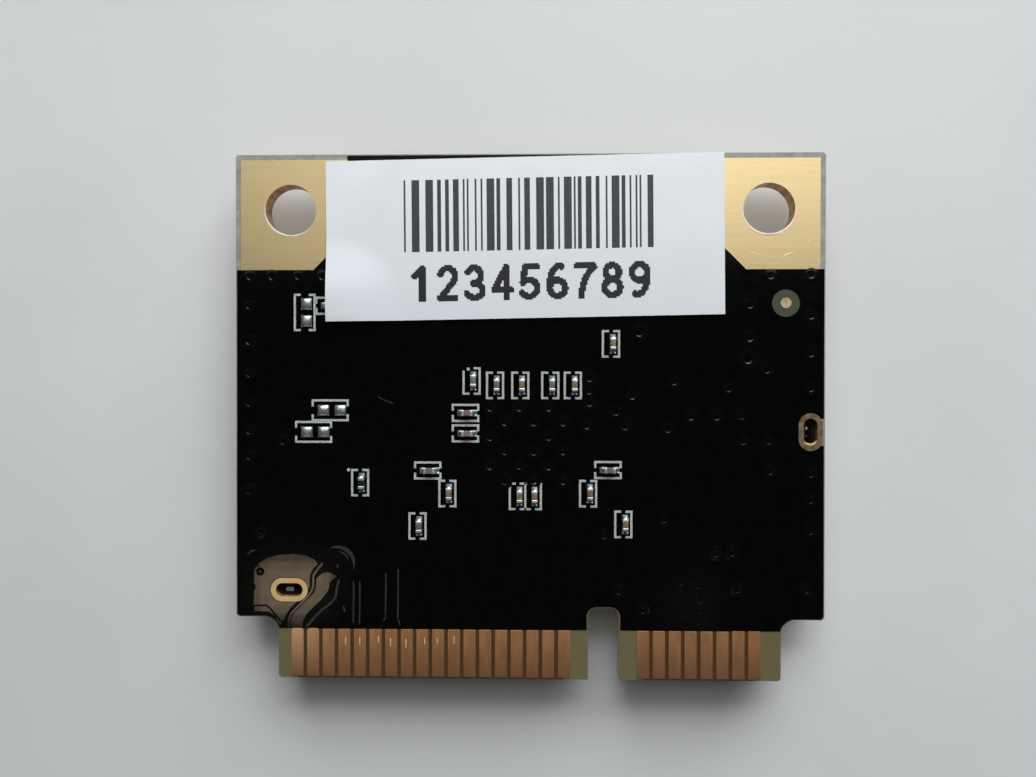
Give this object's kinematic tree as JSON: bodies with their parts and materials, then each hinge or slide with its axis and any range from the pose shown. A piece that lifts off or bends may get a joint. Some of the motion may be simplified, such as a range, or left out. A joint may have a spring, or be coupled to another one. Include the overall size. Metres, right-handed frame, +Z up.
{
  "type": "laptop wifi card",
  "caption": "Half-length wireless network card for a laptop: a black board with a keyed edge connector, two screw holes, and a metal shield and antenna sockets on its parts side.",
  "frame": {"origin": "middle of the board in plan, at the outer face of the shield lid that the card lies on", "axes": "+Z up through the board to its soldered back, +Y towards the two screw holes, -Y towards the edge contacts, +X across the board to the shorter contact group"},
  "size_m": [0.0298, 0.0266, 0.0031],
  "materials": {
    "antenna_gold": "gold-plated brass",
    "antenna_insulator": "off-white liquid-crystal plastic",
    "brown_ceramic": "brown capacitor ceramic",
    "contact_gold": "hard gold contacts with probe marks",
    "crystal_can": "metal lid on a ceramic tub",
    "ferrite": "dark grey ferrite",
    "filter_ceramic": "pale fired ceramic",
    "frame_steel": "tin-plated sheet",
    "gold_plating": "thin gold over nickel and copper, finely brushed",
    "grey_ceramic": "grey capacitor ceramic",
    "label_paper": "cool white label paper with dark thermal print",
    "laminate": "olive glass-fibre laminate, bare at the tongue and on the routed edges",
    "lid_steel": "tin-plated sheet with light scuffs",
    "olive_ceramic": "olive-yellow capacitor ceramic",
    "outline_print": "off-white screen print",
    "package_resin": "black moulding resin",
    "resistor_coat": "black glass coat over white ceramic",
    "rose_ceramic": "pinkish brown capacitor ceramic",
    "solder": "bright tin solder",
    "solder_mask": "near-black glossy solder mask"
  },
  "bodies": {
    "root": {"bare_land_solder": "solder", "bare_lands_back": "gold_plating", "board_laminate": "laminate", "capacitor_back_01": "grey_ceramic", "capacitor_back_02": "grey_ceramic", "capacitor_back_03": "brown_ceramic", "capacitor_back_04": "grey_ceramic", "capacitor_back_05": "olive_ceramic", "capacitor_back_06": "rose_ceramic", "capacitor_back_07": "rose_ceramic", "capacitor_back_08": "grey_ceramic", "capacitor_back_09": "brown_ceramic", "capacitor_back_10": "grey_ceramic", "capacitor_back_11": "olive_ceramic", "capacitor_back_12": "brown_ceramic", "capacitor_back_13": "brown_ceramic", "capacitor_back_14": "grey_ceramic", "capacitor_back_15": "brown_ceramic", "capacitor_back_16": "olive_ceramic", "capacitor_back_17": "brown_ceramic", "capacitors_front": "brown_ceramic", "crystal": "crystal_can", "edge_contacts_back": "contact_gold", "edge_contacts_front": "contact_gold", "fiducial_target": "gold_plating", "left_antenna_insulator": "antenna_insulator", "left_antenna_pin": "antenna_gold", "left_antenna_shell": "antenna_gold", "left_corner_plating": "gold_plating", "left_front_end_chip": "package_resin", "left_slot_plating": "gold_plating", "leg_solder": "solder", "memory_chip": "package_resin", "outline_print": "outline_print", "paper_label": "label_paper", "part_lands_back": "gold_plating", "part_lands_front": "gold_plating", "power_inductor": "ferrite", "radio_chip": "package_resin", "regulator_chip": "package_resin", "resistor_back_01": "resistor_coat", "resistors_front": "resistor_coat", "rf_filters": "filter_ceramic", "right_antenna_insulator": "antenna_insulator", "right_antenna_pin": "antenna_gold", "right_antenna_shell": "antenna_gold", "right_corner_plating": "gold_plating", "right_front_end_chip": "package_resin", "right_slot_plating": "gold_plating", "shield_frame": "frame_steel", "shield_ground_land": "gold_plating", "shield_lid": "lid_steel", "shield_solder": "solder", "solder_joints_back": "solder", "solder_joints_front": "solder", "solder_mask_back": "solder_mask", "solder_mask_front": "solder_mask", "tinned_lands_front": "solder"}
  },
  "joints": []
}
